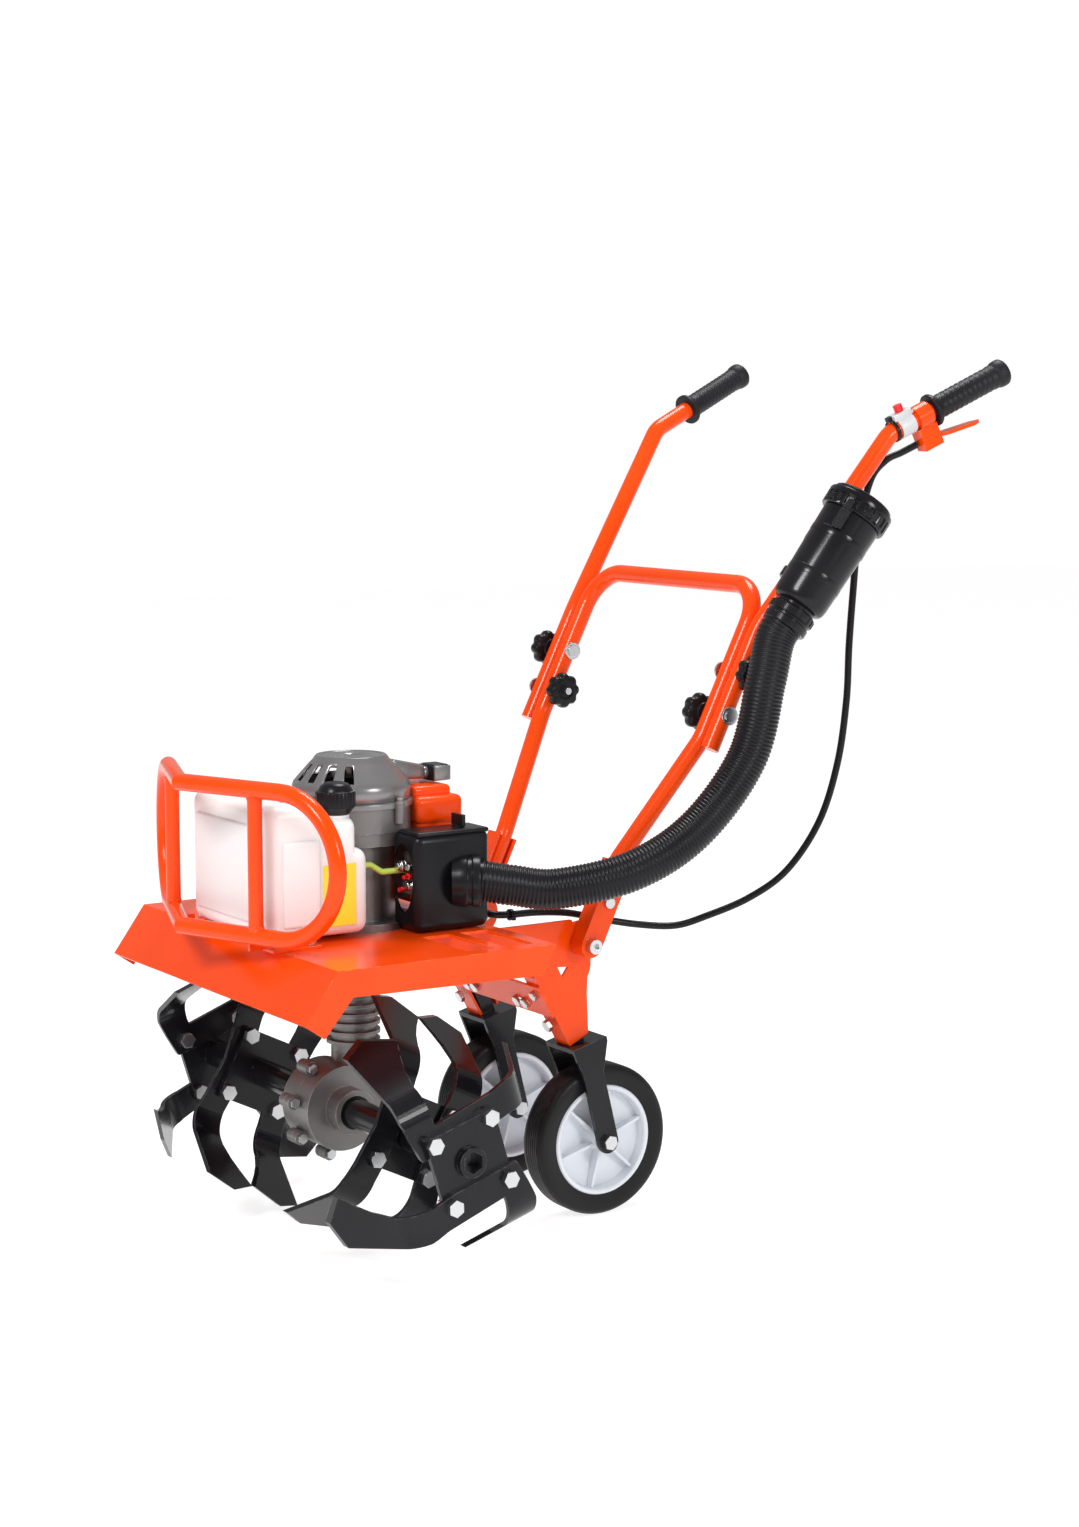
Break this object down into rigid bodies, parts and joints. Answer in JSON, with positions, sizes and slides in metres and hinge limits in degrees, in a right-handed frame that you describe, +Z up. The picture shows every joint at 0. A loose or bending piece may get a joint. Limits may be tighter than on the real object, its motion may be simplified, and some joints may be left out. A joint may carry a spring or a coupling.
{
  "type": "mini cultivator",
  "caption": "Walk-behind petrol mini cultivator with bladed tine rotors under a deck, transport wheels, front bumper and adjustable twin handles with a raised air filter.",
  "frame": {"origin": "on the ground under the middle of the machine's bounding box", "axes": "+Z up, -Y towards the front bumper, +Y towards the handles, +X towards the machine's left side"},
  "size_m": [0.5822, 0.9111, 0.9333],
  "materials": {
    "black_gloss_plastic": "glossy moulded",
    "black_paint": "satin black paint",
    "black_plastic": "satin moulded",
    "cast_alloy": "sand cast",
    "exhaust": "heat paint",
    "foam": "foam",
    "fuel_line": "clear green-yellow",
    "grip_rubber": "moulded",
    "hose": "corrugated",
    "label_yellow": "plain film",
    "orange_paint": "gloss powder coat",
    "orange_plastic": "glossy moulded",
    "red_plastic": "moulded",
    "rim_plastic": "moulded white",
    "rope": "braided",
    "silver_plastic": "silver grey paint",
    "steel": "ground",
    "switch_plastic": "moulded grey",
    "tank_plastic": "translucent natural",
    "tyre": "solid rubber",
    "zinc": "zinc plated"
  },
  "bodies": {
    "frame": {"deck_panel": "orange_paint", "side_frame_left": "orange_paint", "side_frame_right": "orange_paint", "rear_cross_plate": "orange_paint", "front_bumper": "orange_paint", "chassis_bolts": "zinc", "wheel_forks": "black_paint", "pivot_bolts": "zinc", "crankcase": "cast_alloy", "engine_cylinder": "cast_alloy", "cylinder_cover": "orange_plastic", "spark_plug": "black_plastic", "muffler": "exhaust", "carburettor": "cast_alloy", "air_box": "black_plastic", "starter_cover": "silver_plastic", "fuel_tank": "tank_plastic", "tank_label": "label_yellow", "fuel_line": "fuel_line", "clutch_housing": "cast_alloy", "gear_case_left": "cast_alloy", "gear_case_right": "cast_alloy", "shaft_bearings": "steel", "shaft_seals": "hose", "air_hose": "hose", "control_cable": "hose", "cable_tie_frame": "black_plastic", "starter_rope": "rope"},
    "handle": {"lower_handle": "orange_paint", "handle_brackets": "orange_paint", "upper_handles": "orange_paint", "handle_bolts": "zinc", "grips": "grip_rubber", "throttle_bracket": "orange_paint", "kill_switch": "switch_plastic", "cable_tie_handle": "black_plastic", "filter_canister": "black_gloss_plastic", "filter_element": "foam", "canister_clamps": "black_plastic"},
    "canister_cap": {"canister_cap": "black_gloss_plastic"},
    "throttle_lever": {"throttle_lever": "orange_paint"},
    "kill_button": {"kill_button": "red_plastic"},
    "knob_inner_left": {"knob_inner_left": "black_plastic"},
    "knob_inner_right": {"knob_inner_right": "black_plastic"},
    "knob_outer_left": {"knob_outer_left": "black_plastic"},
    "knob_outer_right": {"knob_outer_right": "black_plastic"},
    "starter_handle": {"starter_handle": "black_plastic"},
    "starter_pulley": {"starter_pulley": "black_plastic"},
    "fuel_cap": {"fuel_cap": "black_plastic"},
    "air_box_screw": {"air_box_screw": "black_plastic"},
    "crankshaft": {"crankshaft": "steel"},
    "worm_shaft": {"worm_shaft": "steel"},
    "tines": {"tine_shaft": "steel", "rotors": "black_paint", "rotor_blades": "black_paint", "rotor_bolts": "zinc"},
    "wheel_left": {"tyre_left": "tyre", "rim_left": "rim_plastic"},
    "wheel_right": {"tyre_right": "tyre", "rim_right": "rim_plastic"}
  },
  "joints": [
    {"name": "handle_fold", "type": "hinge", "parent": "frame", "child": "handle", "pos_m": [0, -0.0232, 0.306], "axis": [1, 0, 0], "range_deg": [-12, 35], "deforming": ["air_hose", "control_cable"]},
    {"name": "throttle_squeeze", "type": "hinge", "parent": "handle", "child": "throttle_lever", "pos_m": [0.22526, 0.35598, 0.84509], "axis": [0.9901, -0.1404, 0], "range_deg": [0, 14], "stiffness_Nm_per_rad": 0.25, "springref_deg": -11.46},
    {"name": "kill_press", "type": "slide", "parent": "handle", "child": "kill_button", "axis": [0.059, 0.4162, -0.9073], "range_m": [0, 0.0022], "stiffness_N_per_m": 400},
    {"name": "cap_lift", "type": "slide", "parent": "handle", "child": "canister_cap", "axis": [0.12, 0.5651, 0.8162], "range_m": [0, 0.04]},
    {"name": "knob_inner_left_turn", "type": "hinge", "parent": "handle", "child": "knob_inner_left", "pos_m": [0.136, 0.1123, 0.552], "axis": [-1, 0, 0], "continuous": true},
    {"name": "knob_outer_left_turn", "type": "hinge", "parent": "handle", "child": "knob_outer_left", "pos_m": [0.198, 0.1343, 0.596], "axis": [1, 0, 0], "continuous": true},
    {"name": "knob_inner_right_turn", "type": "hinge", "parent": "handle", "child": "knob_inner_right", "pos_m": [-0.136, 0.1123, 0.552], "axis": [1, 0, 0], "continuous": true},
    {"name": "knob_outer_right_turn", "type": "hinge", "parent": "handle", "child": "knob_outer_right", "pos_m": [-0.198, 0.1343, 0.596], "axis": [-1, 0, 0], "continuous": true},
    {"name": "pulley_spin", "type": "hinge", "parent": "frame", "child": "starter_pulley", "pos_m": [0, -0.2462, 0.49], "axis": [0, 0, 1], "range_deg": [0, 1140], "stiffness_Nm_per_rad": 0.0004, "springref_deg": -114.59},
    {"name": "starter_pull", "type": "slide", "parent": "frame", "child": "starter_handle", "axis": [0, 1, 0], "range_m": [0, 0.6], "deforming": ["starter_rope"]},
    {"name": "fuel_cap_turn", "type": "hinge", "parent": "frame", "child": "fuel_cap", "pos_m": [0.07, -0.3042, 0.48], "axis": [0, 0, 1], "continuous": true},
    {"name": "air_box_screw_turn", "type": "hinge", "parent": "frame", "child": "air_box_screw", "pos_m": [0.08, -0.1622, 0.445], "axis": [0, 0, 1], "continuous": true},
    {"name": "crankshaft_spin", "type": "hinge", "parent": "frame", "child": "crankshaft", "pos_m": [0, -0.2462, 0.4], "axis": [0, 0, 1], "continuous": true},
    {"name": "tine_spin", "type": "hinge", "parent": "frame", "child": "tines", "pos_m": [0, -0.2722, 0.141], "axis": [1, 0, 0], "continuous": true},
    {"name": "worm_spin", "type": "hinge", "parent": "frame", "child": "worm_shaft", "pos_m": [0, -0.2462, 0.2], "axis": [0, 0, 1], "continuous": true},
    {"name": "wheel_left_spin", "type": "hinge", "parent": "frame", "child": "wheel_left", "pos_m": [0.091, 0.0048, 0.084], "axis": [1, 0, 0], "continuous": true},
    {"name": "wheel_right_spin", "type": "hinge", "parent": "frame", "child": "wheel_right", "pos_m": [-0.091, 0.0048, 0.084], "axis": [1, 0, 0], "continuous": true}
  ],
  "couplings": [
    {"joint": "worm_spin", "follows": "tine_spin", "ratio": 28},
    {"joint": "pulley_spin", "follows": "starter_pull", "rad_per_m": 33.16}
  ]
}
